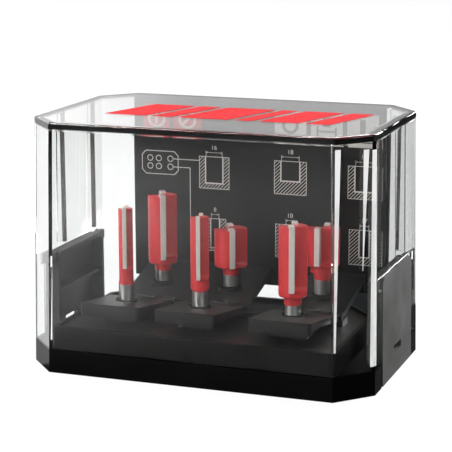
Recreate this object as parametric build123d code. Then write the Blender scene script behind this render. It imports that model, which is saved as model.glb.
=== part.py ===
from build123d import *
import math
import os

# Clear-covered bench case for six straight router bits.
# Millimetres. X runs along the case, Y to its back, Z up.
# Origin: centre of the base's underside, where the case stands.

# ---- case outline -------------------------------------------------------
case_length = 180.0
case_depth = 116.8
case_height = 126.4
corner_cut_x = 16.0
corner_cut_y = 17.5
wall_lean = 0.0155

# ---- base tray ----------------------------------------------------------
band_height = 11.8
band_wall = 3.0
ledge_thickness = 2.5
rim_height = 23.3
rim_wall = 2.2
rim_from_end = 17.0
rim_back = 35.2
rim_corner_radius = 2.0
deck_top = 20.5
deck_thickness = 2.5

# ---- clear cover --------------------------------------------------------
cover_wall_foot = 2.4
cover_wall_crown = 2.9
cover_roof = 2.5
cover_edge_radius = 0.9
cover_inside_radius = 2.0
cover_rim_clearance = 0.4
fin_offset = 18.4
fin_thickness = 2.0
fin_from_end = 8.4
fin_foot = 58.0

# ---- squeeze latches ----------------------------------------------------
latch_half_width = 28.4
latch_top = 54.5
latch_foot = 0.6
latch_depth = 9.0
latch_wall = 2.2
latch_proud = 0.5
latch_corner_radius = 5.0
latch_gap = 0.5
latch_side_foot = 3.0
slot_length = 14.6
slot_height = 3.8
slot_centre_height = 13.4
rib_height = 33.0
rib_thickness = 1.6
ear_reach = 4.5
ear_height = 4.7
ear_thickness = 3.2
ear_wall_gap = 0.35
ear_drop = 0.2
pivot_height = 6.0
pivot_from_end = 4.0
pivot_radius = 1.5
pivot_clearance = 0.05
pivot_blind = 0.6
bay_depth = 10.0
bay_wall = 2.2
cheek_thickness = 2.5

# ---- bit rack -----------------------------------------------------------
rack_plate = 1.5
rack_clearance = 0.3
tongue_thickness = 3.3
tongue_half_width = 15.9
tongue_shift = 0.6
tongue_flare = 1.2
tongue_front = -46.0
tongue_corner_radius = 1.6
front_slope = 0.148
rear_slope = 0.26
front_lip_height = 6.2
lip_thickness = 2.2
rear_lip_foot = 28.5
rear_lip_from_back = 11.4
plinth_inset = 6.3
plinth_front = -31.0
valley_half_depth = 4.0
spine_height = 25.4
spine_tab_height = 29.2
spine_tab_depth = 2.6
spine_tab_chamfer = 1.5
seat_height = 30.7
seat_wall = 1.4

# ---- socket sleeves -----------------------------------------------------
sleeve_radius = 5.0
sleeve_collar_radius = 5.6
sleeve_collar = 1.1
sleeve_fit = 0.05
sleeve_foot = 3.2
sleeve_floor = 2.0

# ---- card ---------------------------------------------------------------
card_end_gap = 3.4
card_thickness = 0.8
card_foot = 27.0
card_slack = 0.1
card_roof_gap = 0.2
hook_width = 9.0
hook_thickness = 1.5
hook_lip = 4.0
hook_places = (-40.0, -12.0, 46.0)

# ---- router bits --------------------------------------------------------
shank_radius = 4.0
shank_clearance = 0.05
blade_proud = 0.35
blade_overtop = 1.0
neck_extra = 0.35
body_edge_share = 0.14
large_bit = 12.0
row_front = -22.0
row_rear = 22.0

# Each bit: cutting diameter, place along X, row, then heights above the
# socket's collar of the coating's start, the body's foot, the blade's foot
# and the top, and the angle that its first blade points to, in degrees.
bits = {
    8: (-46.4, row_front, 8.3, 8.3, 16.5, 47.1, -64.0),
    10: (-6.3, row_front, 8.2, 8.2, 14.1, 45.5, -68.0),
    15: (42.7, row_front, 5.1, 9.1, 12.1, 44.4, -67.0),
    16: (-44.1, row_rear, 5.6, 9.6, 12.3, 46.0, -56.0),
    18: (-5.6, row_rear, 6.3, 10.3, 10.9, 30.7, -56.0),
    17: (44.5, row_rear, 7.4, 14.7, 16.0, 34.7, -84.0),
}
# A stepped bit's extra collar: radius, and its foot above the socket's.
steps = {17: (6.0, 11.5)}
# The bits that stand on each front and rear tongue.
front_columns = (8, 10, 15)
rear_spans = ((-60.0, 9.3), (31.5, 60.0))

# ---- values that follow from the ones above -----------------------------
half_length = case_length / 2
half_depth = case_depth / 2
rim_half_length = half_length - rim_from_end
rim_front = -(half_depth - wall_lean * rim_height - cover_wall_foot - cover_rim_clearance)
deck_under = deck_top - deck_thickness
rack_top = deck_top + rack_plate
roof_under = case_height - cover_roof
bay_inner = half_length - bay_depth
bay_half_width = latch_half_width + latch_gap
pivot_x = half_length - pivot_from_end
pivot_length = latch_gap + cheek_thickness - pivot_blind - 0.3
latch_inner = half_length + latch_proud - latch_depth
rear_lip_face = half_depth - rear_lip_from_back
card_half_length = half_length - corner_cut_x - card_end_gap
card_front = rear_lip_face + card_slack
card_back = card_front + card_thickness
collar_top = seat_height + sleeve_collar
shank_foot = sleeve_foot + sleeve_floor


def block(x0, x1, y0, y1, z0, z1):
    """Box between two corners."""
    box = Box(x1 - x0, y1 - y0, z1 - z0)
    return Pos((x0 + x1) / 2, (y0 + y1) / 2, (z0 + z1) / 2) * box


def post(x, y, z0, z1, radius):
    """Upright cylinder."""
    return Pos(x, y, (z0 + z1) / 2) * Cylinder(radius, z1 - z0)


def outline(inset, height):
    """The case's eight-sided plan at a height, set in evenly by inset."""
    lean = wall_lean * height
    x = half_length - lean - inset
    y = half_depth - lean - inset
    slant = math.hypot(corner_cut_x, corner_cut_y)
    cut_x = corner_cut_x + inset * ((slant - corner_cut_x) / corner_cut_y - 1)
    cut_y = corner_cut_y + inset * ((slant - corner_cut_y) / corner_cut_x - 1)
    right = [(x - cut_x, -y), (x, cut_y - y), (x, y - cut_y), (x - cut_x, y)]
    left = [(-px, py) for px, py in reversed(right)]
    return Pos(0, 0, height) * make_face(Polyline(*right, *left, close=True))


def drafted(inset_low, low, inset_high, high):
    """Solid between two plans of the case, leaning with its walls."""
    return loft([outline(inset_low, low), outline(inset_high, high)], ruled=True)


def tray_plan(inset):
    """Plan of the raised tray: square in front, corners cut at the back."""
    x = rim_half_length - inset
    front = rim_front + inset
    back = rim_back - inset
    slant = math.hypot(corner_cut_x, corner_cut_y)
    cut_x = corner_cut_x + inset * ((slant - corner_cut_x) / corner_cut_y - 1)
    cut_y = corner_cut_y + inset * ((slant - corner_cut_y) / corner_cut_x - 1)
    points = [(-x, front), (x, front), (x, back - cut_y), (x - cut_x, back), (cut_x - x, back), (-x, back - cut_y)]
    face = make_face(Polyline(*points, close=True))
    corners = face.vertices().group_by(Axis.Y)[0]
    return fillet(corners, max(rim_corner_radius - inset, 0.5))


def tray_prism(inset, low, high):
    return extrude(Pos(0, 0, low) * tray_plan(inset), high - low)


def cover_inner_face(height):
    """Distance from the case's middle to the end wall's inner face."""
    share = (height - band_height) / (roof_under - band_height)
    wall = cover_wall_foot + share * (cover_wall_crown - cover_wall_foot)
    return half_length - wall_lean * height - wall


def profile_along_x(points, x0, x1):
    """Outline of (y, z) points, carried along X."""
    face = Plane.YZ * make_face(Polyline(*points, close=True))
    return Pos(x0, 0, 0) * extrude(face, x1 - x0)


def profile_along_y(points, half_width):
    """Outline of (x, z) points, carried along Y about the middle."""
    face = Plane.XZ * make_face(Polyline(*points, close=True))
    return extrude(face, half_width, both=True)


def front_surface(y):
    """Height of the front tongues, which rise towards the front."""
    return seat_height + front_slope * (row_front - y)


def rear_surface(y):
    """Height of the rear tongues, which rise towards the back."""
    return seat_height + rear_slope * (y - row_rear)


# ---- base ---------------------------------------------------------------
def latch_bay(side):
    """Space that one latch swings in, open to the end and downwards."""
    reach = sorted((side * bay_inner, side * (half_length + latch_depth)))
    return block(*reach, -bay_half_width, bay_half_width, -1.0, band_height + 1.0)


def bay_walls(side):
    """Inner wall and two pivot cheeks around a latch bay."""
    outer = bay_half_width + cheek_thickness
    wall = sorted((side * (bay_inner - bay_wall), side * bay_inner))
    reach = sorted((side * bay_inner, side * (half_length - 1.0)))
    inner_wall = block(*wall, -outer, outer, 0, band_height)
    front_cheek = block(*reach, -outer, -bay_half_width, 0, band_height)
    rear_cheek = block(*reach, bay_half_width, outer, 0, band_height)
    return inner_wall + front_cheek + rear_cheek


def pivot_bores(side):
    """Blind bores in the two cheeks for a latch's trunnions."""
    length = 2 * (bay_half_width + cheek_thickness - pivot_blind)
    bore = Rot(90, 0, 0) * Cylinder(pivot_radius + pivot_clearance, length)
    return Pos(side * pivot_x, 0, pivot_height) * bore


def base_tray():
    band = drafted(0, 0, 0, band_height)
    band -= drafted(band_wall, 0, band_wall, band_height - ledge_thickness)
    tray = band + tray_prism(0, band_height - ledge_thickness, rim_height)
    tray -= tray_prism(rim_wall, -1.0, deck_under)
    tray -= tray_prism(rim_wall, deck_top, rim_height + 1.0)
    for side in (-1, 1):
        tray -= latch_bay(side)
        tray += bay_walls(side)
        tray -= pivot_bores(side)
    for x, y, *_ in bits.values():
        tray -= post(x, y, deck_under - 1.0, deck_top + 1.0, sleeve_radius + sleeve_fit)
    return tray


# ---- cover --------------------------------------------------------------
def latch_window(side):
    """T-shaped notch in an end wall for a latch and its two ears."""
    reach = sorted((side * (half_length - latch_depth), side * (half_length + 1.0)))
    ear_foot = latch_top - ear_drop - ear_height
    stem = block(*reach, -bay_half_width, bay_half_width, band_height - 1.0, latch_top + latch_gap)
    half_head = latch_half_width + ear_reach + latch_gap
    head = block(*reach, -half_head, half_head, ear_foot - latch_gap, latch_top + latch_gap)
    return stem + head


def end_fins(side):
    """Two upright stiffening fins inside an end wall, above the latch."""
    reach = sorted((side * (half_length - fin_from_end), side * (half_length - wall_lean * fin_foot - 1.0)))
    fins = []
    for middle in (-fin_offset, fin_offset):
        low = middle - fin_thickness / 2
        fins.append(block(*reach, low, low + fin_thickness, fin_foot, roof_under + 1.0))
    return fins


def clear_cover():
    shell = drafted(0, band_height, 0, case_height)
    top_edges = shell.faces().sort_by(Axis.Z)[-1].edges()
    shell = fillet(top_edges, cover_edge_radius)
    inside = drafted(cover_wall_foot, band_height, cover_wall_crown, roof_under)
    inside = fillet(inside.faces().sort_by(Axis.Z)[-1].edges(), cover_inside_radius)
    for side in (-1, 1):
        for fin in end_fins(side):
            inside -= fin
    shell -= inside
    for side in (-1, 1):
        shell -= latch_window(side)
    return shell


# ---- latches ------------------------------------------------------------
def latch_face(half_width, foot, top, radius):
    """Latch outline seen from the end, with its two top corners rounded."""
    points = [(-half_width, foot), (half_width, foot), (half_width, top), (-half_width, top)]
    face = make_face(Polyline(*points, close=True))
    return Plane.YZ * fillet(face.vertices().group_by(Axis.Y)[-1], radius)


def leaning_slab(inner, thickness_off):
    """Everything from x = inner out to the latch's leaning outer face."""
    foot_x = half_length + latch_proud - thickness_off
    top_x = foot_x - wall_lean * latch_top
    points = [(inner, 0), (foot_x, 0), (top_x, latch_top), (inner, latch_top)]
    return profile_along_y(points, latch_half_width + ear_reach)


def right_latch():
    face = latch_face(latch_half_width, latch_foot, latch_top, latch_corner_radius)
    body = extrude(Pos(latch_inner, 0, 0) * face, latch_depth + 1.0)
    body &= leaning_slab(latch_inner, 0)
    hollow_half = latch_half_width - latch_wall
    hollow_face = latch_face(hollow_half, 0, latch_top - latch_wall, latch_corner_radius - latch_wall)
    hollow = extrude(Pos(latch_inner - 1.0, 0, 0) * hollow_face, latch_depth + 1.0)
    body -= hollow & leaning_slab(latch_inner - 1.0, latch_wall)
    outer_wall = half_length + latch_proud - latch_wall - 0.5
    body -= block(latch_inner - 1.0, outer_wall, -latch_half_width - 1.0, latch_half_width + 1.0, 0, latch_side_foot)
    rib_reach = sorted((latch_inner + 1.0, outer_wall))
    body += block(*rib_reach, -hollow_half, hollow_half, rib_height, rib_height + rib_thickness)
    slot = block(outer_wall - 1.0, half_length + 1.0, -slot_length / 2, slot_length / 2, 0, slot_height)
    body -= Pos(0, 0, slot_centre_height - slot_height / 2) * slot
    ear_top = latch_top - ear_drop
    ear_face = cover_inner_face(ear_top) - ear_wall_gap
    for side in (-1, 1):
        reach = sorted((side * (latch_half_width - latch_wall), side * (latch_half_width + ear_reach)))
        body += block(ear_face - ear_thickness, ear_face, *reach, ear_top - ear_height, ear_top)
        middle = side * (latch_half_width - latch_wall / 2 + pivot_length / 2)
        pin = Rot(90, 0, 0) * Cylinder(pivot_radius, pivot_length + latch_wall)
        body += Pos(pivot_x, middle, pivot_height) * pin
    return body


# ---- rack ---------------------------------------------------------------
def tongue_outline(x_middle, half_width, front, back, flare):
    """Plan of a tongue that widens evenly from front to back."""
    points = [
        (x_middle - half_width, front),
        (x_middle + half_width, front),
        (x_middle + half_width + flare, back),
        (x_middle - half_width - flare, back),
    ]
    face = make_face(Polyline(*points, close=True))
    return fillet(face.vertices(), tongue_corner_radius)


def front_tongue(x):
    """One sloping front tongue with a hanging front lip and a plinth."""
    back = -valley_half_depth
    inner = tongue_front + lip_thickness
    points = [
        (tongue_front, front_surface(tongue_front)),
        (tongue_front, front_surface(tongue_front) - front_lip_height),
        (inner, front_surface(tongue_front) - front_lip_height),
        (inner, front_surface(inner) - tongue_thickness),
        (back, front_surface(back) - tongue_thickness),
        (back, front_surface(back)),
    ]
    reach = tongue_half_width + tongue_flare
    sheet = profile_along_x(points, x - reach, x + reach)
    plan = tongue_outline(x, tongue_half_width, tongue_front, back, tongue_flare)
    sheet &= extrude(plan, seat_height * 2)
    foot = rack_top - rack_plate / 2
    plinth = [
        (plinth_front, foot),
        (plinth_front, front_surface(plinth_front) - tongue_thickness / 2),
        (back, front_surface(back) - tongue_thickness / 2),
        (back, foot),
    ]
    half = tongue_half_width - plinth_inset
    return sheet + profile_along_x(plinth, x - half, x + half)


def rear_tongue(x0, x1):
    """One sloping rear tongue whose back lip carries the card's hooks."""
    front = valley_half_depth
    inner = rear_lip_face - lip_thickness
    points = [
        (front, rear_surface(front)),
        (front, rear_surface(front) - tongue_thickness),
        (inner, rear_surface(inner) - tongue_thickness),
        (inner, rear_lip_foot),
        (rear_lip_face, rear_lip_foot),
        (rear_lip_face, rear_surface(rear_lip_face)),
    ]
    sheet = profile_along_x(points, x0, x1)
    foot = rack_top - rack_plate / 2
    back = rim_back - rim_wall - rack_clearance
    plinth = [
        (front, foot),
        (front, rear_surface(front) - tongue_thickness / 2),
        (back, rear_surface(back) - tongue_thickness / 2),
        (back, foot),
    ]
    return sheet + profile_along_x(plinth, x0 + plinth_inset + 1.0, x1 - plinth_inset - 1.0)


def card_hook(x):
    """Hook under the back lip that the card's lower edge stands in."""
    x0 = x - hook_width / 2
    x1 = x + hook_width / 2
    lip = card_back + card_slack
    low = card_foot - hook_thickness
    floor = block(x0, x1, rear_lip_face - lip_thickness, lip + hook_thickness, low, card_foot)
    stem = block(x0, x1, rear_lip_face - lip_thickness, rear_lip_face, low, rear_lip_foot + 0.5)
    return floor + stem + block(x0, x1, lip, lip + hook_thickness, low, card_foot + hook_lip)


def spine():
    """Bar along the valley between the rows, with light raised tabs."""
    end = rim_half_length - rim_wall - rack_clearance - corner_cut_x / 2
    foot = rack_top - rack_plate / 2
    bar = block(-end, end, -valley_half_depth - 0.5, valley_half_depth + 0.5, foot, spine_height)
    tab_front = -valley_half_depth
    tab_back = tab_front + spine_tab_depth
    tab = [
        (tab_front, foot),
        (tab_front, spine_tab_height - spine_tab_chamfer),
        (tab_front + spine_tab_chamfer, spine_tab_height),
        (tab_back, spine_tab_height),
        (tab_back, foot),
    ]
    for number in front_columns:
        x = bits[number][0]
        for start, stop in ((-12.0, 8.0), (13.0, 19.0)):
            bar += profile_along_x(tab, x + start, x + stop)
    return bar


def bit_rack():
    rack = tray_prism(rim_wall + rack_clearance, deck_top, rack_top)
    rack += spine()
    for number in front_columns:
        rack += front_tongue(bits[number][0] + tongue_shift)
    for x0, x1 in rear_spans:
        rack += rear_tongue(x0, x1)
    for x in hook_places:
        rack += card_hook(x)
    for x, y, *_ in bits.values():
        rack += post(x, y, rack_top - rack_plate / 2, seat_height, sleeve_collar_radius + seat_wall)
        rack -= post(x, y, seat_height, seat_height * 2, sleeve_collar_radius + sleeve_fit)
        rack -= post(x, y, deck_top - 1.0, seat_height + 1.0, sleeve_radius + sleeve_fit)
    return rack


def socket_sleeve(x, y):
    """Soft blind sleeve that grips one shank; its collar sits on the rack."""
    sleeve = post(x, y, sleeve_foot, seat_height, sleeve_radius)
    sleeve += post(x, y, seat_height, collar_top, sleeve_collar_radius)
    return sleeve - post(x, y, shank_foot, collar_top + 1.0, shank_radius + shank_clearance)


def info_card():
    top = roof_under - card_roof_gap
    return block(-card_half_length, card_half_length, card_front, card_back, card_foot, top)


# ---- router bits --------------------------------------------------------
def blade_sizes(diameter):
    """Blade thickness, how deep it is let in, and the core's half width."""
    if diameter > large_bit:
        return 2.7, 4.6, 1.9
    return 1.9, 2.4, 0.9


def gullet(diameter, low, high):
    """Chip space beside the blade at +u, curving out at its foot."""
    core = blade_sizes(diameter)[2]
    radius = diameter / 2 + 1.0
    curve = min(3.0, radius - core - 0.5)
    profile = Polyline((core, low + curve), (core, high), (radius, high), (radius, low), (core + curve, low))
    profile += RadiusArc((core + curve, low), (core, low + curve), curve)
    face = Plane.XZ * make_face(profile)
    return extrude(face, -radius)


def blade_block(diameter, low, high):
    """One carbide blade, its cutting face on the u axis."""
    thickness, depth, _ = blade_sizes(diameter)
    radius = diameter / 2
    return block(radius - depth, radius, -thickness, 0, low, high)


def both_ways(shape):
    return [shape, Rot(0, 0, 180) * shape]


def bit_parts(diameter):
    """Body and pair of blades of one bit, standing in its socket."""
    x, y, coat, foot, blade_foot, top, angle = bits[diameter]
    radius = diameter / 2 - blade_proud
    head_low = collar_top + foot
    head_high = collar_top + top
    head = post(0, 0, head_low, head_high, radius)
    rims = head.edges().filter_by(GeomType.CIRCLE).sort_by(Axis.Z)
    head = fillet(rims[0], body_edge_share * radius)
    blade_low = collar_top + blade_foot
    blades = []
    for cutter in both_ways(gullet(diameter, blade_low - 0.6, head_high + 1.0)):
        head -= cutter
    for blade in both_ways(blade_block(diameter, blade_low, head_high + blade_overtop)):
        head -= blade
        blades.append(blade)
    body = head + post(0, 0, shank_foot, head_low + 1.0, shank_radius)
    if foot > coat:
        body += post(0, 0, collar_top + coat, head_low + 1.0, shank_radius + neck_extra)
    if diameter in steps:
        step_radius, step_foot = steps[diameter]
        body += post(0, 0, collar_top + step_foot, head_low + 1.0, step_radius)
    place = Pos(x, y, 0) * Rot(0, 0, angle)
    return place * body, Compound(children=[place * blade for blade in blades])


def build():
    pieces = {
        "base_tray": base_tray(),
        "clear_cover": clear_cover(),
        "bit_rack": bit_rack(),
        "info_card": info_card(),
        "right_latch": right_latch(),
    }
    pieces["left_latch"] = mirror(pieces["right_latch"], Plane.YZ)
    for diameter, (x, y, *_) in bits.items():
        body, blades = bit_parts(diameter)
        pieces[f"socket_sleeve_{diameter}"] = socket_sleeve(x, y)
        pieces[f"bit_{diameter}_body"] = body
        pieces[f"bit_{diameter}_blades"] = blades
    return pieces


os.makedirs("parts", exist_ok=True)
for name, shape in build().items():
    export_step(shape, f"parts/{name}.step")
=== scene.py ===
import math

import bmesh
import bpy
from mathutils import Matrix, Vector


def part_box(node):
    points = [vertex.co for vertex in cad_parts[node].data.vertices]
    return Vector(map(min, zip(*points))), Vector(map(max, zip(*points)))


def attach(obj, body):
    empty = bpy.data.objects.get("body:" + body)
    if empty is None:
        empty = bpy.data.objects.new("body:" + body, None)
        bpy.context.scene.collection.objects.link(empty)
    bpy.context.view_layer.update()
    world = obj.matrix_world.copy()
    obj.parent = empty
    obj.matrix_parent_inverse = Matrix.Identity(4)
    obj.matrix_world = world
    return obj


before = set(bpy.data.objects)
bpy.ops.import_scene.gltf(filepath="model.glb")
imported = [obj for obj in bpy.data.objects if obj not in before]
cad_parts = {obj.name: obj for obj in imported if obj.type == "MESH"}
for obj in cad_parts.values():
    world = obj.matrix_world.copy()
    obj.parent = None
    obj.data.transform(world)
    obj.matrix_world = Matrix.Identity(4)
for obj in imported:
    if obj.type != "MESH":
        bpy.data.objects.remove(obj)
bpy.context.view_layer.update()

# Looks of a clear-covered bench case for six router bits.
# Metres, in the CAD model's frame: X along the case, Y to its back, Z up.
MM = 0.001

# ---- camera, fitted to the photograph -----------------------------------
CAMERA_AZIMUTH = math.radians(20.02)
CAMERA_ELEVATION = math.radians(12.32)
CAMERA_ROLL = math.radians(-0.18)
CAMERA_DISTANCE = 852.8 * MM
CAMERA_AIM = Vector((-0.6, 0.0, 68.25)) * MM
CAMERA_LENS = 133.0
CAMERA_FAR = 20.0
SENSOR_WIDTH = 36.0

# ---- round sweep, in metres ---------------------------------------------
SWEEP_RADIUS = 1.9
SWEEP_BEND = 0.6
SWEEP_HEIGHT = 1.4
SWEEP_STEPS = 12
SWEEP_STEP_ANGLE = math.radians(5.0)
# The bright part's two ends, as angles from the view's back.
BRIGHT_RIGHT = math.radians(-26.0)
BRIGHT_LEFT = math.radians(100.0)
# Its glow is even on the floor. Higher up it falls from left to right,
# between two places along X.
SWEEP_TONE = 0.06
SWEEP_TONE_SPREAD = 0.003
SWEEP_GLOW = 0.87
GLOW_FOOT = 0.05
GLOW_HEAD = 0.4
GLOW_LEFT_X = -0.88
GLOW_RIGHT_X = -0.70
GLOW_LEFT_SHARE = 1.15
GLOW_RIGHT_SHARE = 0.60

# ---- soft lights, all turned to the case --------------------------------
# Each: name, place, size, power in watts.
LIGHTS = (
    ("overhead_back", (0.1, 1.0, 1.3), (1.2, 0.8), 18.0),
    ("front_left", (-0.9, -1.1, 0.9), (0.9, 0.8), 62.0),
    ("front_right", (1.2, -1.0, 0.8), (0.6, 0.7), 16.0),
    ("right_back", (0.62, 1.05, 0.38), (0.5, 0.4), 36.0),
)
LIGHTS_AIM = Vector((0.0, 0.0, 0.06))
WORLD_COLOUR = (0.9, 0.95, 1.0, 1.0)
WORLD_STRENGTH = 0.02

# ---- soft glow in front of the case that hazes the left of the glass ----
# Each: place, half width and half length, glow.
REFLECTORS = (
    ((-0.282, -0.483, 0.001), (0.16, 0.50), 1.9),
    ((-0.06, -0.60, 0.001), (0.42, 0.55), 0.4),
    ((-0.13, -0.16, 0.001), (0.15, 0.11), 0.8),
)

# ---- the part of a noise that is used, and a height step's softness -----
NOISE_LOW = 0.3
NOISE_HIGH = 0.7
STEP_SOFTNESS = 0.1 * MM

# ---- where each bit's red coat starts, in mm above its sleeve -----------
COAT_START = {8: 8.3, 10: 8.2, 15: 5.1, 16: 5.6, 18: 6.3, 17: 7.4}
COAT_WAVE = 0.5
BITS = tuple(COAT_START)

# ---- the case's plan, as the CAD model has it ---------------------------
CORNER_CUT_X = 16.0 * MM
CORNER_CUT_Y = 17.5 * MM
WALL_LEAN = 0.0155

# ---- painted shade: a dark band in the roof's rim -----------------------
EDGE_SHADE_BELOW_TOP = 1.0 * MM
EDGE_SHADE_HEIGHT = 2.4 * MM
EDGE_SHADE_INSET = 1.1 * MM
EDGE_SHADE_THICKNESS = 0.2 * MM

# ---- painted shade: dark sheets in the cover's fins ---------------------
FIN_OFFSET = 18.4 * MM
FIN_TIP_BELOW_END = 7.9 * MM
FIN_SHADE_WIDTH = 1.5 * MM
FIN_SHADE_THICKNESS = 0.4 * MM
FIN_FOOT = 58.4 * MM
FIN_HEAD = 3.0 * MM

# ---- painted highlights: glowing pale glints in the upright edges at the right ---
# Each, in mm: corner and the next one, where the strip starts between
# them, its width at foot and head, and the heights of foot and head.
GLINTS = (
    (0, 1, 0.3, 1.1, 3.0, 24.0, 120.5),
    (0, 1, 15.8, 0.4, 3.0, 62.0, 119.5),
    (0, 1, 20.6, 2.3, 2.3, 14.5, 119.0),
    (1, 2, 0.4, 2.2, 2.2, 14.5, 119.0),
)
GLINT_INSET = 0.6 * MM
GLINT_THICKNESS = 0.2 * MM
GLINT_GLOW = 0.45

# ---- brass seams along the blades ---------------------------------------
BLADE_ANGLE = {8: -64.0, 10: -68.0, 15: -67.0, 16: -56.0, 18: -56.0, 17: -84.0}
BRAZE_END = 0.4 * MM
BRAZE_DEPTH = 1.3 * MM
BRAZE_BELOW_EDGE = 0.12 * MM
BRAZE_WIDTH = 0.3 * MM

# ---- moulded plastics ---------------------------------------------------
# Scale and detail of the cloudiness and of the uneven gloss, the scale of
# the grain, and the strength and height of its relief.
CLOUD_NOISE = (38.0, 4.0)
GLOSS_NOISE = (60.0, 2.0)
FINE_GRAIN = 9000.0
CARD_GRAIN = 4000.0
GRAIN_RELIEF = (0.08, 0.02 * MM)

# ---- the base's two tones -----------------------------------------------
BASE_ROUGHNESS = (0.36, 0.40)
BASE_SPECULAR = 0.12
BAND_TOP = 11.9 * MM
BAND_COLOUR = (0.0007, 0.0007, 0.0007)
TRAY_DARK = (0.010, 0.010, 0.0095)
TRAY_LIGHT = (0.016, 0.016, 0.015)

# ---- inks and the card's lines ------------------------------------------
INK_LIFT = 0.12 * MM
CARD_LINE = 0.42 * MM
SLOT_LINE = 0.35 * MM
SLOT_EDGE = 0.75 * MM
HATCH_PITCH = 1.9 * MM
ARROW_RISE = 2.3 * MM
ARROW_LENGTH = 1.0 * MM
ARROW_HALF_WIDTH = 0.4 * MM
MARK_ABOVE_ARROW = 0.8 * MM
MARK_LINE = CARD_LINE * 0.7
ARROW_LINE = CARD_LINE * 0.5
NUMBER_RISE = 4.9 * MM
NUMBER_HEIGHT = 3.4 * MM

# ---- card artwork, in mm: u along the card, v up ------------------------
# Plan of the case: its sides, its corner cut, its sockets' columns, rows.
PLAN_SIDES = (-65.8, -44.8, 84.2, 96.9)
PLAN_CUT = 2.3
PLAN_COLUMNS = (-61.1, -56.1, -49.3)
PLAN_ROWS = (92.9, 88.5)
PLAN_SOCKET = 1.75
# Where the two lines from the plan end or turn.
UPPER_LINE_END = -32.5
LOWER_LINE_TURN = (-37.9, 52.0)
LOWER_LINE_END = -27.4
# Each slot section: number, middle, top, foot, width, slot's width, floor.
SLOTS = (
    ("16", -24.0, 95.3, 77.9, 17.0, 9.2, 81.2),
    ("18", 19.0, 95.3, 77.5, 17.8, 9.8, 84.9),
    ("15", 58.3, 94.8, 77.4, 17.0, 9.0, 81.6),
    ("8", -23.6, 61.4, 43.6, 12.4, 4.4, 45.6),
    ("10", 18.9, 61.0, 43.0, 16.0, 4.4, 46.5),
    ("17", 59.0, 60.8, 42.0, 16.4, 4.8, 46.5),
)
# The row of signs along the top. Each box or bar: left, right, foot, top.
RED_BOXES = ((-65.5, -49.6, 104.6, 120.0), (-47.6, -31.6, 104.6, 120.0))
WHITE_BOXES = (
    (9.9, 27.4, 104.6, 119.6),
    (29.9, 47.2, 104.6, 119.6),
    (49.6, 66.6, 104.6, 119.6),
)
DARK_BARS = (
    (33.0, 44.0, 109.2, 110.2),
    (33.0, 34.0, 107.2, 112.2),
    (43.0, 44.0, 107.2, 112.2),
    (36.4, 40.6, 112.2, 117.2),
    (53.0, 63.2, 107.0, 108.6),
    (56.6, 59.6, 108.6, 117.0),
)
PALE_BAR = (-58.3, -56.7, 109.4, 115.2)
# Each ring: centre, radius, width.
DARK_RING = ((18.6, 112.1), 4.6, 1.6)
PALE_RINGS = (((-57.5, 112.3), 5.2, 1.5), ((-39.6, 112.3), 5.2, 1.5))
# The slanted bar in the second pale ring: its two ends and its width.
PALE_STROKE = ((-42.6, 109.3), (-36.6, 115.3), 1.6)

# ---- slanted bars on the cover's top, in mm -----------------------------
BARS_START = -58.0
BAR_WIDTHS = (22.0, 10.0, 26.0, 8.0, 20.0, 12.0)
BAR_GAP = 4.0
BAR_SLANT = 12.0
BAR_FRONT = -20.0
BAR_BACK = 18.0


# =========================================================================
# Materials
# =========================================================================
def new_material(name, colour, roughness, metallic=0.0, **sockets):
    """A Principled material with its plain values on the shader's sockets."""
    material = bpy.data.materials.new(name)
    material.use_nodes = True
    shader = material.node_tree.nodes["Principled BSDF"]
    shader.inputs["Base Color"].default_value = (*colour, 1.0)
    shader.inputs["Roughness"].default_value = roughness
    shader.inputs["Metallic"].default_value = metallic
    for socket, value in sockets.items():
        shader.inputs[socket.replace("_", " ")].default_value = value
    return material, material.node_tree, shader


def add_noise(tree, scale, detail=3.0, stretch=(1.0, 1.0, 1.0)):
    """Noise over the object's own coordinates, stretched where asked."""
    place = tree.nodes.new("ShaderNodeTexCoord")
    mapping = tree.nodes.new("ShaderNodeMapping")
    mapping.inputs["Scale"].default_value = stretch
    tree.links.new(place.outputs["Object"], mapping.inputs["Vector"])
    noise = tree.nodes.new("ShaderNodeTexNoise")
    noise.inputs["Scale"].default_value = scale
    noise.inputs["Detail"].default_value = detail
    tree.links.new(mapping.outputs["Vector"], noise.inputs["Vector"])
    return noise.outputs["Fac"]


def add_range(tree, value, low, high):
    """Spreads the middle of a noise's values over a range."""
    remap = tree.nodes.new("ShaderNodeMapRange")
    remap.inputs["From Min"].default_value = NOISE_LOW
    remap.inputs["From Max"].default_value = NOISE_HIGH
    remap.inputs["To Min"].default_value = low
    remap.inputs["To Max"].default_value = high
    tree.links.new(value, remap.inputs["Value"])
    return remap.outputs["Result"]


def add_mix(tree, factor, first, second):
    """Mixes two colours, each a colour or another node's output."""
    mix = tree.nodes.new("ShaderNodeMix")
    mix.data_type = "RGBA"
    tree.links.new(factor, mix.inputs["Factor"])
    for slot, colour in (("A", first), ("B", second)):
        socket = next(s for s in mix.inputs if s.name == slot and s.type == "RGBA")
        if isinstance(colour, bpy.types.NodeSocket):
            tree.links.new(colour, socket)
        else:
            socket.default_value = (*colour, 1.0)
    return next(s for s in mix.outputs if s.type == "RGBA")


def add_bump(tree, shader, height, strength, distance):
    """Fine relief on a shader's surface."""
    bump = tree.nodes.new("ShaderNodeBump")
    bump.inputs["Strength"].default_value = strength
    bump.inputs["Distance"].default_value = distance
    tree.links.new(height, bump.inputs["Height"])
    tree.links.new(bump.outputs["Normal"], shader.inputs["Normal"])


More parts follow.
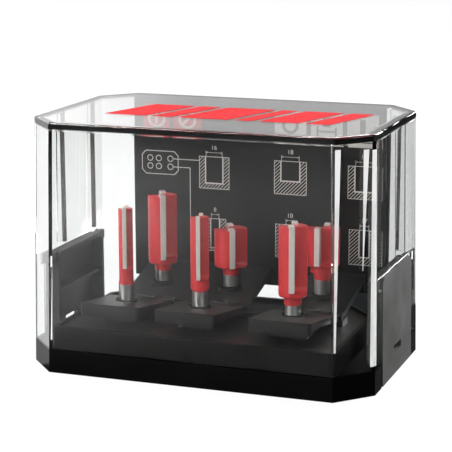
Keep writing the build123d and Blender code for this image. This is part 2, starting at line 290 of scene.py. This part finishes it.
def moulded_plastic(name, dark, light, roughness, specular, grain=FINE_GRAIN):
    """Moulded plastic: faint cloudiness, uneven gloss and a fine grain."""
    material, tree, shader = new_material(name, dark, roughness[0], Specular_IOR_Level=specular)
    cloud = add_noise(tree, *CLOUD_NOISE)
    tree.links.new(add_mix(tree, cloud, dark, light), shader.inputs["Base Color"])
    gloss = add_noise(tree, *GLOSS_NOISE)
    tree.links.new(add_range(tree, gloss, *roughness), shader.inputs["Roughness"])
    add_bump(tree, shader, add_noise(tree, grain, 1.0), *GRAIN_RELIEF)
    return material


def clear_acrylic():
    """Clear polished acrylic with a very slight moulding waviness."""
    tint = (0.975, 0.985, 0.98)
    material, tree, shader = new_material(
        "clear_acrylic", tint, 0.0, Transmission_Weight=1.0, IOR=1.49
    )
    add_bump(tree, shader, add_noise(tree, 30.0, 1.0), 0.05, 0.02 * MM)
    scuffs = add_noise(tree, 160.0, 6.0)
    tree.links.new(add_range(tree, scuffs, 0.0, 0.02), shader.inputs["Roughness"])
    return material


def height_step(tree, height, wave):
    """0 below a height and 1 above it, along a line that wanders a little."""
    place = tree.nodes.new("ShaderNodeTexCoord")
    split = tree.nodes.new("ShaderNodeSeparateXYZ")
    tree.links.new(place.outputs["Object"], split.inputs["Vector"])
    wander = add_range(tree, add_noise(tree, 160.0, 1.0), -wave, wave)
    total = tree.nodes.new("ShaderNodeMath")
    tree.links.new(split.outputs["Z"], total.inputs[0])
    tree.links.new(wander, total.inputs[1])
    step = tree.nodes.new("ShaderNodeMapRange")
    step.inputs["From Min"].default_value = height - STEP_SOFTNESS
    step.inputs["From Max"].default_value = height + STEP_SOFTNESS
    tree.links.new(total.outputs["Value"], step.inputs["Value"])
    return step.outputs["Result"]


def two_tone_base():
    """Deep black up to the band's top and a lighter, cloudy black above it."""
    material, tree, shader = new_material(
        "base_black", BAND_COLOUR, BASE_ROUGHNESS[0], Specular_IOR_Level=BASE_SPECULAR
    )
    above = height_step(tree, BAND_TOP, 0.0)
    cloud = add_mix(tree, add_noise(tree, *CLOUD_NOISE), TRAY_DARK, TRAY_LIGHT)
    tree.links.new(add_mix(tree, above, BAND_COLOUR, cloud), shader.inputs["Base Color"])
    gloss = add_range(tree, add_noise(tree, *GLOSS_NOISE), *BASE_ROUGHNESS)
    tree.links.new(gloss, shader.inputs["Roughness"])
    add_bump(tree, shader, add_noise(tree, FINE_GRAIN, 1.0), *GRAIN_RELIEF)
    return material


def coated_bit(number):
    """Red enamel above the coat line and a bright ground shank below it."""
    red_dark, red_light = (0.54, 0.018, 0.024), (0.64, 0.034, 0.04)
    steel_dark, steel_light = (0.50, 0.50, 0.49), (0.64, 0.63, 0.61)
    material, tree, shader = new_material(f"coated_bit_{number}", red_dark, 0.35)
    enamel = add_mix(tree, add_noise(tree, 300.0, 4.0), red_dark, red_light)
    rings = add_noise(tree, 900.0, 2.0, (0.15, 0.15, 3.0))
    steel = add_mix(tree, rings, steel_dark, steel_light)
    coat_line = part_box(f"socket_sleeve_{number}")[1].z + COAT_START[number] * MM
    coated = height_step(tree, coat_line, COAT_WAVE * MM)
    tree.links.new(add_mix(tree, coated, steel, enamel), shader.inputs["Base Color"])
    below = tree.nodes.new("ShaderNodeMath")
    below.operation = "SUBTRACT"
    below.inputs[0].default_value = 1.0
    tree.links.new(coated, below.inputs[1])
    tree.links.new(below.outputs["Value"], shader.inputs["Metallic"])
    gloss = add_range(tree, add_noise(tree, 500.0, 3.0), 0.30, 0.38)
    tree.links.new(gloss, shader.inputs["Roughness"])
    add_bump(tree, shader, add_noise(tree, 1200.0, 3.0), 0.15, 0.01 * MM)
    return material


def ground_carbide():
    """Ground carbide: grey, with fine grinding lines along the blade."""
    material, tree, shader = new_material("ground_carbide", (0.6, 0.6, 0.58), 0.35, 0.1)
    lines = add_noise(tree, 1500.0, 3.0, (1.0, 1.0, 0.06))
    grey = add_mix(tree, lines, (0.66, 0.64, 0.61), (0.82, 0.80, 0.76))
    tree.links.new(grey, shader.inputs["Base Color"])
    tree.links.new(add_range(tree, lines, 0.28, 0.5), shader.inputs["Roughness"])
    add_bump(tree, shader, lines, 0.15, 0.03 * MM)
    return material


def printed_ink(name, colour, deep, specular=0.25):
    """Screen-printed ink with slight unevenness."""
    material, tree, shader = new_material(name, colour, 0.5, Specular_IOR_Level=specular)
    patches = add_noise(tree, 500.0, 3.0)
    tree.links.new(add_mix(tree, patches, deep, colour), shader.inputs["Base Color"])
    tree.links.new(add_range(tree, patches, 0.4, 0.6), shader.inputs["Roughness"])
    return material


def brass(name):
    """Brazing brass, a little uneven in tone."""
    material, tree, shader = new_material(name, (0.62, 0.42, 0.16), 0.35, 0.7)
    tone = add_mix(tree, add_noise(tree, 900.0), (0.50, 0.33, 0.12), (0.72, 0.52, 0.24))
    tree.links.new(tone, shader.inputs["Base Color"])
    return material


def painted_glint():
    """Painted highlight: a pale colour that glows a little, for the bright edges of thick acrylic."""
    material, tree, shader = new_material("edge_glint", (0.75, 0.75, 0.74), 0.4)
    tone = add_mix(tree, add_noise(tree, 60.0), (0.66, 0.66, 0.65), (0.84, 0.84, 0.83))
    tree.links.new(tone, shader.inputs["Base Color"])
    tree.links.new(tone, shader.inputs["Emission Color"])
    shader.inputs["Emission Strength"].default_value = GLINT_GLOW
    return material


def finish(obj, material):
    """Gives an object one material, in every slot it has."""
    if not obj.data.materials:
        obj.data.materials.append(material)
    for index in range(len(obj.data.materials)):
        obj.data.materials[index] = material
    for polygon in obj.data.polygons:
        polygon.material_index = 0


# =========================================================================
# Flat prints: outlines gathered in one mesh for each ink
# =========================================================================
class Print:
    """Flat ink shapes in one plane, gathered into one mesh."""

    def __init__(self, name, to_frame, body, slot, material, depth=0.0):
        self.name = name
        self.to_frame = to_frame
        self.body = body
        self.slot = slot
        self.material = material
        self.depth = depth
        self.mesh = bmesh.new()

    def polygon(self, points):
        corners = [self.mesh.verts.new((u, v, 0.0)) for u, v in points]
        self.mesh.faces.new(corners)

    def rectangle(self, u0, u1, v0, v1):
        self.polygon([(u0, v0), (u1, v0), (u1, v1), (u0, v1)])

    def stroke(self, start, stop, width):
        """A straight bar between two points."""
        a, b = Vector(start), Vector(stop)
        side = (b - a).normalized().orthogonal() * width / 2
        self.polygon([a - side, b - side, b + side, a + side])

    def outline(self, points, width):
        """A closed line made of bars, each a little longer than its run."""
        for a, b in zip(points, points[1:] + points[:1]):
            step = (Vector(b) - Vector(a)).normalized() * width / 2
            self.stroke(Vector(a) - step, Vector(b) + step, width)

    def ring(self, centre, radius, width, segments=28):
        """A circle drawn as a line."""
        turns = [2 * math.pi * k / segments for k in range(segments + 1)]
        for a, b in zip(turns, turns[1:]):
            points = []
            for angle, reach in ((a, radius), (b, radius), (b, radius - width), (a, radius - width)):
                u = centre[0] + reach * math.cos(angle)
                v = centre[1] + reach * math.sin(angle)
                points.append((u, v))
            self.polygon(points)

    def number(self, text, centre, height):
        """Plain digits from the built-in font, centred on a point."""
        curve = bpy.data.curves.new("digits", "FONT")
        curve.body = text
        curve.size = height
        curve.align_x = "CENTER"
        curve.align_y = "CENTER"
        holder = bpy.data.objects.new("digits", curve)
        outline = bpy.data.meshes.new_from_object(holder)
        outline.transform(Matrix.Translation((centre[0], centre[1], 0.0)))
        self.mesh.from_mesh(outline)
        bpy.data.objects.remove(holder)
        bpy.data.curves.remove(curve)
        bpy.data.meshes.remove(outline)

    def build(self):
        """Makes the piece, as a slab where the print has a depth."""
        if self.depth:
            skin = bmesh.ops.extrude_face_region(self.mesh, geom=self.mesh.faces[:])
            low = [item for item in skin["geom"] if isinstance(item, bmesh.types.BMVert)]
            bmesh.ops.translate(self.mesh, verts=low, vec=(0.0, 0.0, -self.depth))
            bmesh.ops.recalc_face_normals(self.mesh, faces=self.mesh.faces)
        mesh = bpy.data.meshes.new(self.name)
        self.mesh.to_mesh(mesh)
        self.mesh.free()
        mesh.transform(self.to_frame)
        piece = bpy.data.objects.new(self.name, mesh)
        bpy.context.scene.collection.objects.link(piece)
        finish(piece, self.material)
        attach(piece, self.body)


# =========================================================================
# Stage, lights and camera
# =========================================================================
def add_camera():
    back = Vector(
        (
            math.sin(CAMERA_AZIMUTH) * math.cos(CAMERA_ELEVATION),
            -math.cos(CAMERA_AZIMUTH) * math.cos(CAMERA_ELEVATION),
            math.sin(CAMERA_ELEVATION),
        )
    )
    data = bpy.data.cameras.new("camera")
    data.lens = CAMERA_LENS
    data.sensor_width = SENSOR_WIDTH
    data.clip_end = CAMERA_FAR
    camera = bpy.data.objects.new("camera", data)
    turn = back.to_track_quat("Z", "Y").to_matrix().to_4x4()
    roll = Matrix.Rotation(CAMERA_ROLL, 4, "Z")
    camera.matrix_world = Matrix.Translation(CAMERA_AIM + back * CAMERA_DISTANCE) @ turn @ roll
    bpy.context.scene.collection.objects.link(camera)
    bpy.context.scene.camera = camera


def add_area(name, place, size, power):
    """Soft rectangular light, turned to the case."""
    data = bpy.data.lights.new(name, "AREA")
    data.shape = "RECTANGLE"
    data.size, data.size_y = size
    data.energy = power
    light = bpy.data.objects.new(name, data)
    place = Vector(place)
    turn = (place - LIGHTS_AIM).to_track_quat("Z", "Y").to_matrix().to_4x4()
    light.matrix_world = Matrix.Translation(place) @ turn
    bpy.context.scene.collection.objects.link(light)


def sweep_profile():
    """Radius and height from the floor's middle up to the backdrop's top."""
    points = [(0.0, 0.0), (SWEEP_RADIUS - SWEEP_BEND, 0.0)]
    for k in range(1, SWEEP_STEPS + 1):
        angle = math.pi / 2 * k / SWEEP_STEPS
        reach = SWEEP_RADIUS - SWEEP_BEND * (1 - math.sin(angle))
        points.append((reach, SWEEP_BEND * (1 - math.cos(angle))))
    points.append((SWEEP_RADIUS, SWEEP_HEIGHT))
    return points


def sweep_part(name, profile, start, stop, material):
    """Part of the round sweep between two azimuths, the view's back at 0."""
    count = round((stop - start) / SWEEP_STEP_ANGLE)
    mesh = bmesh.new()
    rings = []
    for reach, z in profile:
        ring = []
        for k in range(count + 1):
            angle = CAMERA_AZIMUTH + start + (stop - start) * k / count
            ring.append(mesh.verts.new((-reach * math.sin(angle), reach * math.cos(angle), z)))
        rings.append(ring)
    for low, high in zip(rings, rings[1:]):
        for k in range(count):
            mesh.faces.new((low[k], low[k + 1], high[k + 1], high[k]))
    bmesh.ops.remove_doubles(mesh, verts=mesh.verts, dist=1e-6)
    data = bpy.data.meshes.new(name)
    mesh.to_mesh(data)
    mesh.free()
    for polygon in data.polygons:
        polygon.use_smooth = True
    part = bpy.data.objects.new(name, data)
    bpy.context.scene.collection.objects.link(part)
    finish(part, material)
    return part


def add_ramp(tree, value, starts, stops):
    """Carries a value from one range to another."""
    ramp = tree.nodes.new("ShaderNodeMapRange")
    for socket, number in zip(("From Min", "From Max"), starts):
        ramp.inputs[socket].default_value = number
    for socket, number in zip(("To Min", "To Max"), stops):
        ramp.inputs[socket].default_value = number
    tree.links.new(value, ramp.inputs["Value"])
    return ramp


def pale_paint():
    """Pale paint with a glow that changes with the place on the sweep."""
    tone = (SWEEP_TONE, SWEEP_TONE, SWEEP_TONE)
    material, tree, shader = new_material("pale_sweep", tone, 0.8)
    dark = [part - SWEEP_TONE_SPREAD for part in tone]
    light = [part + SWEEP_TONE_SPREAD for part in tone]
    tree.links.new(add_mix(tree, add_noise(tree, 3.0), dark, light), shader.inputs["Base Color"])
    shader.inputs["Emission Color"].default_value = (1.0, 1.0, 1.0, 1.0)
    where = tree.nodes.new("ShaderNodeTexCoord")
    split = tree.nodes.new("ShaderNodeSeparateXYZ")
    tree.links.new(where.outputs["Object"], split.inputs["Vector"])
    glows = (SWEEP_GLOW * GLOW_LEFT_SHARE, SWEEP_GLOW * GLOW_RIGHT_SHARE)
    side = add_ramp(tree, split.outputs["X"], (GLOW_LEFT_X, GLOW_RIGHT_X), glows)
    rise = add_ramp(tree, split.outputs["Z"], (GLOW_FOOT, GLOW_HEAD), (SWEEP_GLOW, SWEEP_GLOW))
    tree.links.new(side.outputs["Result"], rise.inputs["To Max"])
    tree.links.new(rise.outputs["Result"], shader.inputs["Emission Strength"])
    return material


def add_sweep():
    """Pale round sweep. Only the part behind and left of the case lights it."""
    paint = pale_paint()
    profile = sweep_profile()
    sweep_part("sweep_behind", profile, BRIGHT_RIGHT, BRIGHT_LEFT, paint)
    front = sweep_part("sweep_front", profile, BRIGHT_LEFT, BRIGHT_RIGHT + 2 * math.pi, paint)
    front.visible_glossy = False
    front.visible_transmission = False
    front.visible_diffuse = False


def reflector_glow(name, glow):
    """Glow that fades from the middle out, on an otherwise clear card."""
    material = bpy.data.materials.new(name)
    material.use_nodes = True
    tree = material.node_tree
    tree.nodes.remove(tree.nodes["Principled BSDF"])
    where = tree.nodes.new("ShaderNodeTexCoord")
    fade = tree.nodes.new("ShaderNodeTexGradient")
    fade.gradient_type = "SPHERICAL"
    lamp = tree.nodes.new("ShaderNodeEmission")
    lamp.inputs["Strength"].default_value = glow
    both = tree.nodes.new("ShaderNodeAddShader")
    clear = tree.nodes.new("ShaderNodeBsdfTransparent")
    tree.links.new(where.outputs["Object"], fade.inputs["Vector"])
    tree.links.new(fade.outputs["Color"], lamp.inputs["Color"])
    tree.links.new(lamp.outputs["Emission"], both.inputs[0])
    tree.links.new(clear.outputs["BSDF"], both.inputs[1])
    tree.links.new(both.outputs["Shader"], tree.nodes["Material Output"].inputs["Surface"])
    return material


def add_reflector(name, place, size, glow):
    """Soft glow on the floor in front, seen only as haze in the front wall."""
    mesh = bmesh.new()
    corners = [mesh.verts.new((u, v, 0.0)) for u, v in ((-1, -1), (1, -1), (1, 1), (-1, 1))]
    mesh.faces.new(corners)
    data = bpy.data.meshes.new(name)
    mesh.to_mesh(data)
    mesh.free()
    card = bpy.data.objects.new(name, data)
    bpy.context.scene.collection.objects.link(card)
    turn = Matrix.Rotation(-CAMERA_AZIMUTH, 4, "Z")
    spread = Matrix.Diagonal((*size, 1.0, 1.0))
    card.matrix_world = Matrix.Translation(place) @ turn @ spread
    finish(card, reflector_glow(name, glow))
    card.visible_camera = False
    card.visible_diffuse = False
    card.visible_shadow = False


def light_scene():
    world = bpy.data.worlds.new("studio")
    bpy.context.scene.world = world
    world.use_nodes = True
    background = world.node_tree.nodes["Background"]
    background.inputs["Color"].default_value = WORLD_COLOUR
    background.inputs["Strength"].default_value = WORLD_STRENGTH
    for name, place, size, power in LIGHTS:
        add_area(name, place, size, power)
    add_sweep()
    for number, (place, size, glow) in enumerate(REFLECTORS):
        add_reflector(f"reflector_{number}", place, size, glow)
    scene = bpy.context.scene
    scene.view_settings.view_transform = "Standard"
    scene.view_settings.look = "None"
    scene.cycles.use_denoising = True
    scene.cycles.max_bounces = 24
    scene.cycles.transmission_bounces = 20
    scene.cycles.glossy_bounces = 10


# =========================================================================
# The card's print
# =========================================================================
def in_metres(*lengths):
    return [length * MM for length in lengths]


def card_plane():
    """Card's front face: u along X, v along Z, ink towards the front."""
    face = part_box("info_card")[0].y - INK_LIFT
    return Matrix.Translation((0.0, face, 0.0)) @ Matrix.Rotation(math.pi / 2, 4, "X")


def hatch(ink, u0, u1, v0, v1):
    """Lines at 45 degrees, cut to a rectangle, on one grid for all."""
    first = math.floor((v0 - u1) / HATCH_PITCH)
    last = math.ceil((v1 - u0) / HATCH_PITCH)
    for number in range(first, last + 1):
        offset = number * HATCH_PITCH
        start = max(u0, v0 - offset)
        stop = min(u1, v1 - offset)
        if stop - start > SLOT_LINE:
            ink.stroke((start, start + offset), (stop, stop + offset), SLOT_LINE)


def slot_section(ink, left, right, top, bottom, slot_left, slot_right, slot_bottom):
    """Cross-section of a routed slot: hatched stock with a bright slot line."""
    ink.outline([(left, bottom), (right, bottom), (right, top), (left, top)], SLOT_LINE)
    outer_left, outer_right = slot_left - SLOT_EDGE, slot_right + SLOT_EDGE
    outer_bottom = slot_bottom - SLOT_EDGE
    ink.rectangle(outer_left, slot_left, outer_bottom, top)
    ink.rectangle(slot_right, outer_right, outer_bottom, top)
    ink.rectangle(outer_left, outer_right, outer_bottom, slot_bottom)
    hatch(ink, left, outer_left, bottom, top)
    hatch(ink, outer_right, right, bottom, top)
    hatch(ink, outer_left, outer_right, bottom, outer_bottom)


def slot_size(ink, text, middle, slot_half, top):
    """Size arrow above a slot, with its number."""
    height = top + ARROW_RISE
    for side in (-1, 1):
        tip = middle + side * slot_half
        ink.stroke((tip, top), (tip, height + MARK_ABOVE_ARROW), MARK_LINE)
        back = tip - side * ARROW_LENGTH
        near, far = height + side * ARROW_HALF_WIDTH, height - side * ARROW_HALF_WIDTH
        ink.polygon([(tip, height), (back, near), (back, far)])
    ink.stroke((middle - slot_half, height), (middle + slot_half, height), ARROW_LINE)
    ink.number(text, (middle, top + NUMBER_RISE), NUMBER_HEIGHT)


def draw_plan(ink):
    """Plan of the case with its six sockets, and lines to two of the slots."""
    left, right, low, high = in_metres(*PLAN_SIDES)
    cut = PLAN_CUT * MM
    plan = [(left + cut, low), (right - cut, low), (right, low + cut), (right, high - cut)]
    plan += [(right - cut, high), (left + cut, high), (left, high - cut), (left, low + cut)]
    ink.outline(plan, CARD_LINE)
    upper, lower = in_metres(*PLAN_ROWS)
    columns = in_metres(*PLAN_COLUMNS)
    socket = PLAN_SOCKET * MM
    for v in (upper, lower):
        for u in columns:
            ink.ring((u, v), socket, CARD_LINE)
    start = columns[-1] + socket
    turn_u, turn_v = in_metres(*LOWER_LINE_TURN)
    ink.stroke((start, upper), (UPPER_LINE_END * MM, upper), CARD_LINE)
    ink.stroke((start, lower), (turn_u, lower), CARD_LINE)
    ink.stroke((turn_u, lower + CARD_LINE / 2), (turn_u, turn_v), CARD_LINE)
    ink.stroke((turn_u, turn_v), (LOWER_LINE_END * MM, turn_v), CARD_LINE)


def draw_slots(ink):
    """Six slot sections with their widths in plain numbers."""
    for text, *sizes in SLOTS:
        middle, top, bottom, width, slot_width, floor = in_metres(*sizes)
        half, slot_half = width / 2, slot_width / 2
        slot_sides = (middle - slot_half, middle + slot_half)
        slot_section(ink, middle - half, middle + half, top, bottom, *slot_sides, floor)
        slot_size(ink, text, middle, slot_half, top)


def print_card():
    """White and red print on the card, and plain signs on its boxes."""
    white_ink = printed_ink("ink_white", (0.80, 0.78, 0.74), (0.70, 0.68, 0.64))
    red_ink = printed_ink("ink_red", (0.72, 0.02, 0.03), (0.60, 0.012, 0.02))
    dark_ink = printed_ink("ink_dark", (0.03, 0.03, 0.03), (0.02, 0.02, 0.02))
    plane = card_plane()
    nearer = Matrix.Translation((0.0, -INK_LIFT, 0.0)) @ plane
    white = Print("card_print_white", plane, "case", "card_charcoal", white_ink)
    red = Print("card_print_red", plane, "case", "card_charcoal", red_ink)
    signs = Print("card_print_signs", nearer, "case", "card_charcoal", dark_ink)
    pale = Print("card_print_signs_pale", nearer, "case", "card_charcoal", white_ink)
    draw_plan(white)
    draw_slots(white)
    for ink, boxes in ((red, RED_BOXES), (white, WHITE_BOXES), (signs, DARK_BARS), (pale, (PALE_BAR,))):
        for box in boxes:
            ink.rectangle(*in_metres(*box))
    for ink, rings in ((signs, (DARK_RING,)), (pale, PALE_RINGS)):
        for centre, radius, width in rings:
            ink.ring(in_metres(*centre), radius * MM, width * MM)
    start, stop, width = PALE_STROKE
    pale.stroke(in_metres(*start), in_metres(*stop), width * MM)
    for ink in (signs, pale, white, red):
        ink.build()


# =========================================================================
# Pieces on the cover and the bits
# =========================================================================
def case_plan(inset):
    """The case's eight corners, set in evenly from its foot."""
    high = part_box("base_tray")[1]
    x, y = high.x - inset, high.y - inset
    slant = math.hypot(CORNER_CUT_X, CORNER_CUT_Y)
    cut_x = CORNER_CUT_X + inset * ((slant - CORNER_CUT_X) / CORNER_CUT_Y - 1)
    cut_y = CORNER_CUT_Y + inset * ((slant - CORNER_CUT_Y) / CORNER_CUT_X - 1)
    right = [(x - cut_x, -y), (x, cut_y - y), (x, y - cut_y), (x - cut_x, y)]
    return right + [(-u, v) for u, v in reversed(right)]


def mesh_piece(name, mesh, material):
    """Makes a piece of a mesh, with its material."""
    data = bpy.data.meshes.new(name)
    mesh.to_mesh(data)
    mesh.free()
    piece = bpy.data.objects.new(name, data)
    bpy.context.scene.collection.objects.link(piece)
    finish(piece, material)
    return piece


def prism(mesh, near, far):
    """A closed solid between two outlines with the same number of points."""
    first = [mesh.verts.new(point) for point in near]
    last = [mesh.verts.new(point) for point in far]
    mesh.faces.new(first)
    mesh.faces.new(last[::-1])
    for k in range(len(first)):
        j = (k + 1) % len(first)
        mesh.faces.new((first[k], last[k], last[j], first[j]))
    bmesh.ops.recalc_face_normals(mesh, faces=mesh.faces)


def print_cover():
    """Slanted red bars on the cover's flat top."""
    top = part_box("clear_cover")[1].z + INK_LIFT
    plane = Matrix.Translation((0.0, 0.0, top))
    ink = printed_ink(
        "ink_red_bright", (0.46, 0.014, 0.018), (0.40, 0.010, 0.014), specular=0.03
    )
    bars = Print("cover_print_red", plane, "cover", "clear_acrylic", ink, INK_LIFT * 2)
    slant, front, back = in_metres(BAR_SLANT, BAR_FRONT, BAR_BACK)
    start = BARS_START
    for width in BAR_WIDTHS:
        u0, u1 = in_metres(start, start + width)
        bars.polygon([(u0, front), (u1, front), (u1 + slant, back), (u0 + slant, back)])
        start += width + BAR_GAP
    bars.build()


def painted_edge_shade():
    """Painted shade: a dark band inside the roof's rim, where thick acrylic looks black."""
    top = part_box("clear_cover")[1].z - EDGE_SHADE_BELOW_TOP
    bottom = top - EDGE_SHADE_HEIGHT
    lean = WALL_LEAN * top
    outer, inner = EDGE_SHADE_INSET, EDGE_SHADE_INSET + EDGE_SHADE_THICKNESS
    mesh = bmesh.new()
    rings = []
    for inset, z in ((outer, bottom), (outer, top), (inner, top), (inner, bottom)):
        rings.append([mesh.verts.new((x, y, z)) for x, y in case_plan(lean + inset)])
    for ring, after in zip(rings, rings[1:] + rings[:1]):
        for k in range(len(ring)):
            j = (k + 1) % len(ring)
            mesh.faces.new((ring[k], ring[j], after[j], after[k]))
    bmesh.ops.recalc_face_normals(mesh, faces=mesh.faces)
    shadow = moulded_plastic(
        "edge_shadow",
        dark=(0.004, 0.004, 0.004),
        light=(0.008, 0.008, 0.008),
        roughness=(0.5, 0.6),
        specular=0.1,
    )
    piece = mesh_piece("cover_painted_edge_shade", mesh, shadow)
    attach(piece, "cover")


def fin_shades():
    """Painted shade: dark sheets in the cover's four upright fins, which look dark in it."""
    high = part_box("clear_cover")[1]
    head = high.z - FIN_HEAD
    mesh = bmesh.new()
    for side in (-1, 1):
        tip = side * (high.x - FIN_TIP_BELOW_END)
        root = tip + side * FIN_SHADE_WIDTH
        corners = [(tip, FIN_FOOT), (root, FIN_FOOT), (root, head), (tip, head)]
        for middle in (-FIN_OFFSET, FIN_OFFSET):
            near = [(x, middle - FIN_SHADE_THICKNESS, z) for x, z in corners]
            far = [(x, middle + FIN_SHADE_THICKNESS, z) for x, z in corners]
            prism(mesh, near, far)
    shade = moulded_plastic(
        "fin_shade",
        dark=(0.10, 0.09, 0.085),
        light=(0.18, 0.165, 0.155),
        roughness=(0.3, 0.4),
        specular=0.3,
    )
    piece = mesh_piece("cover_fin_shades", mesh, shade)
    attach(piece, "cover")


def edge_glints():
    """Painted highlights: pale glowing wedges in the upright edges, for light that thick acrylic pipes.
    """
    mesh = bmesh.new()
    for corner, after, start, foot_width, head_width, foot, head in GLINTS:
        outlines = []
        for inset in (GLINT_INSET, GLINT_INSET + GLINT_THICKNESS):
            points = []
            ends = ((foot, start, start + foot_width), (head, start + head_width, start))
            for z, first, last in ends:
                plan = case_plan(WALL_LEAN * z * MM + inset)
                run = (Vector(plan[after]) - Vector(plan[corner])).normalized()
                for along in (first, last):
                    place = Vector(plan[corner]) + run * along * MM
                    points.append((place.x, place.y, z * MM))
            outlines.append(points)
        prism(mesh, *outlines)
    piece = mesh_piece("cover_edge_glints", mesh, painted_glint())
    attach(piece, "cover")


def braze_lines(number):
    """Thin brass seams along the cutting edges of one bit's two blades."""
    low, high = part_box(f"bit_{number}_blades")
    centre = (low + high) / 2
    edge = number / 2 * MM - BRAZE_BELOW_EDGE
    root = number / 2 * MM - BRAZE_DEPTH
    plan = [(root, 0.0), (edge, 0.0), (edge, BRAZE_WIDTH), (root, BRAZE_WIDTH)]
    mesh = bmesh.new()
    for turn in (0, math.pi):
        angle = math.radians(BLADE_ANGLE[number]) + turn
        place = Matrix.Translation((centre.x, centre.y, 0.0)) @ Matrix.Rotation(angle, 4, "Z")
        foot = [place @ Vector((u, v, low.z + BRAZE_END)) for u, v in plan]
        head = [place @ Vector((u, v, high.z - BRAZE_END)) for u, v in plan]
        prism(mesh, foot, head)
    piece = mesh_piece(f"bit_{number}_braze", mesh, brass(f"braze_{number}"))
    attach(piece, f"bit_{number}")


# =========================================================================
# Build
# =========================================================================
def finish_cad_nodes():
    """Gives every solid of the CAD model its material."""
    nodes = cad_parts
    satin = moulded_plastic(
        "satin_black",
        dark=(0.014, 0.014, 0.0135),
        light=(0.018, 0.018, 0.017),
        roughness=(0.37, 0.41),
        specular=0.5,
    )
    latch = moulded_plastic(
        "latch_black",
        dark=(0.036, 0.036, 0.035),
        light=(0.050, 0.050, 0.048),
        roughness=(0.42, 0.54),
        specular=0.35,
    )
    soft = moulded_plastic(
        "soft_black",
        dark=(0.010, 0.010, 0.010),
        light=(0.016, 0.016, 0.016),
        roughness=(0.55, 0.7),
        specular=0.3,
    )
    card = moulded_plastic(
        "card_charcoal",
        dark=(0.010, 0.010, 0.010),
        light=(0.014, 0.014, 0.0135),
        roughness=(0.40, 0.52),
        specular=0.35,
        grain=CARD_GRAIN,
    )
    carbide = ground_carbide()
    finish(nodes["base_tray"], two_tone_base())
    finish(nodes["bit_rack"], satin)
    finish(nodes["info_card"], card)
    finish(nodes["clear_cover"], clear_acrylic())
    for name in ("left_latch", "right_latch"):
        finish(nodes[name], latch)
    for number in BITS:
        finish(nodes[f"socket_sleeve_{number}"], soft)
        finish(nodes[f"bit_{number}_body"], coated_bit(number))
        finish(nodes[f"bit_{number}_blades"], carbide)


add_camera()
light_scene()
finish_cad_nodes()
print_card()
print_cover()
painted_edge_shade()
fin_shades()
edge_glints()
for bit_number in BITS:
    braze_lines(bit_number)
